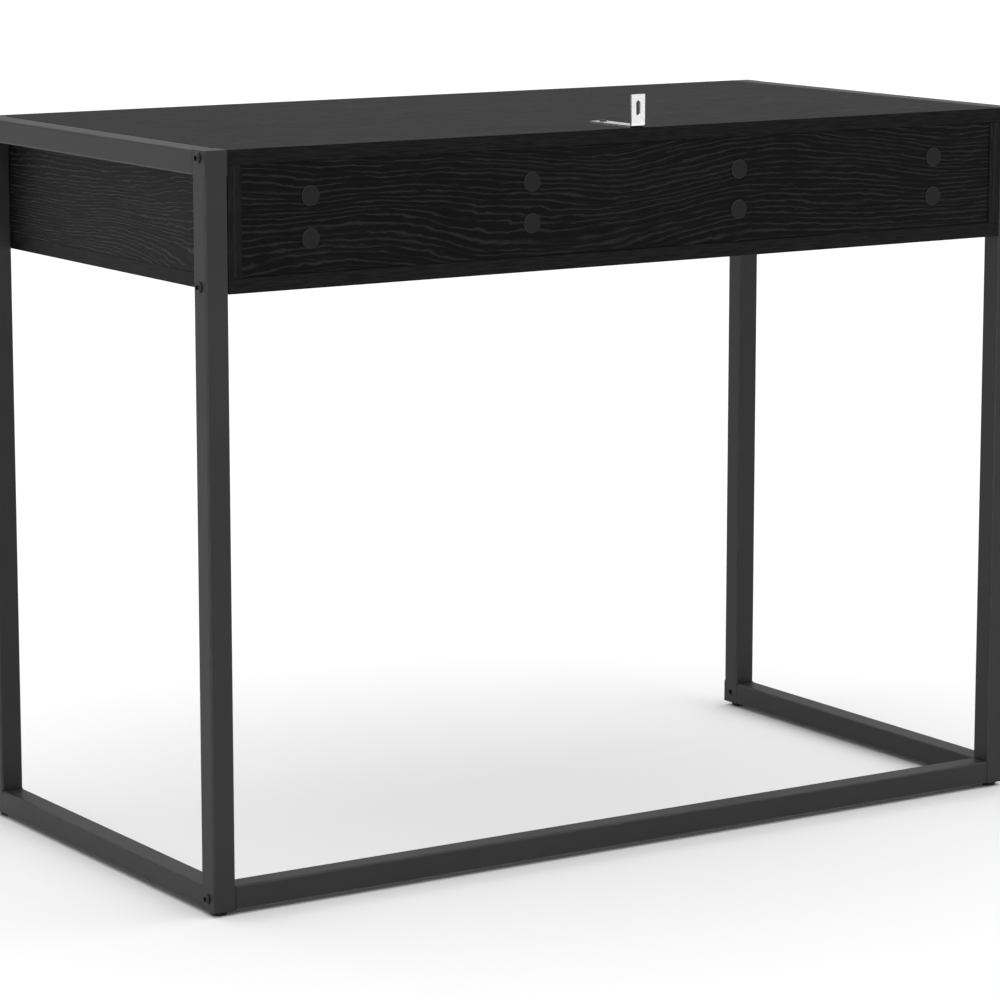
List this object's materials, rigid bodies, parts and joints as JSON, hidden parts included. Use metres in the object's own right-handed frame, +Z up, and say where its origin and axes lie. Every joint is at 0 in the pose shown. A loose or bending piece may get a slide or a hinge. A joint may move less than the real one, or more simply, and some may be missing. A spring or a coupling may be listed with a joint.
{
  "type": "writing desk with drawers",
  "caption": "Slim black writing desk: oak-effect drawer body hung between square-tube side frames, a rear floor stretcher and a wall bracket.",
  "frame": {"origin": "on the floor, under the middle of the desk top", "axes": "+X to the right seen from the drawer side, +Y to the back, +Z up; the drawers face -Y"},
  "size_m": [1.0166, 0.5, 0.794],
  "materials": {
    "black_frame": "fine satin powder coat",
    "black_oak": "black oak-effect foil with embossed horizontal grain",
    "drawer_board": "smooth dark foil",
    "drawer_base": "painted hardboard",
    "black_plastic": "fine moulded texture",
    "black_bolt": "black oxide",
    "zinc_bracket": "bright zinc plate",
    "zinc_fittings": "zinc plate",
    "slide_steel": "zinc-plated sheet steel",
    "ball_steel": "polished steel",
    "beech": "turned and fluted beech"
  },
  "bodies": {
    "root": {"left_front_leg": "black_frame", "left_rear_leg": "black_frame", "left_top_rail": "black_frame", "left_bottom_rail": "black_frame", "left_corner_connectors": "black_frame", "right_front_leg": "black_frame", "right_rear_leg": "black_frame", "right_top_rail": "black_frame", "right_bottom_rail": "black_frame", "right_corner_connectors": "black_frame", "rear_stretcher": "black_frame", "stretcher_end_plugs": "black_plastic", "stretcher_bolts": "black_bolt", "foot_glides": "black_plastic", "board_bolts": "black_bolt", "board_inserts": "zinc_fittings", "top_board": "black_oak", "bottom_board": "black_oak", "left_side_panel": "black_oak", "right_side_panel": "black_oak", "back_panel": "black_oak", "centre_divider": "black_oak", "divider_screws": "zinc_fittings", "wood_dowels": "beech", "back_cam_locks": "zinc_fittings", "back_cam_bolts": "zinc_fittings", "cam_cover_caps": "black_plastic", "side_cam_locks": "zinc_fittings", "side_cam_bolts": "zinc_fittings", "wall_bracket": "zinc_bracket", "bracket_screw": "black_bolt", "left_cabinet_rails": "slide_steel", "right_cabinet_rails": "slide_steel", "cabinet_rail_screws": "zinc_fittings"},
    "left_drawer": {"left_drawer_front": "black_oak", "left_drawer_sides": "drawer_board", "left_drawer_back": "drawer_board", "left_drawer_bottom": "drawer_base", "left_drawer_cam_locks": "zinc_fittings", "left_drawer_cam_bolts": "zinc_fittings", "left_drawer_back_screws": "zinc_fittings", "left_drawer_rails": "slide_steel", "left_drawer_rail_screws": "zinc_fittings"},
    "right_drawer": {"right_drawer_front": "black_oak", "right_drawer_sides": "drawer_board", "right_drawer_back": "drawer_board", "right_drawer_bottom": "drawer_base", "right_drawer_cam_locks": "zinc_fittings", "right_drawer_cam_bolts": "zinc_fittings", "right_drawer_back_screws": "zinc_fittings", "right_drawer_rails": "slide_steel", "right_drawer_rail_screws": "zinc_fittings"},
    "left_cages": {"left_ball_cages": "slide_steel", "left_slide_balls": "ball_steel"},
    "right_cages": {"right_ball_cages": "slide_steel", "right_slide_balls": "ball_steel"}
  },
  "joints": [
    {"name": "left_drawer_slide", "type": "slide", "parent": "root", "child": "left_drawer", "axis": [0, -1, 0], "range_m": [0, 0.3]},
    {"name": "left_cage_slide", "type": "slide", "parent": "root", "child": "left_cages", "axis": [0, -1, 0], "range_m": [0, 0.15]},
    {"name": "right_drawer_slide", "type": "slide", "parent": "root", "child": "right_drawer", "axis": [0, -1, 0], "range_m": [0, 0.3]},
    {"name": "right_cage_slide", "type": "slide", "parent": "root", "child": "right_cages", "axis": [0, -1, 0], "range_m": [0, 0.15]}
  ],
  "couplings": [
    {"joint": "left_cage_slide", "follows": "left_drawer_slide", "ratio": 0.5},
    {"joint": "right_cage_slide", "follows": "right_drawer_slide", "ratio": 0.5}
  ]
}
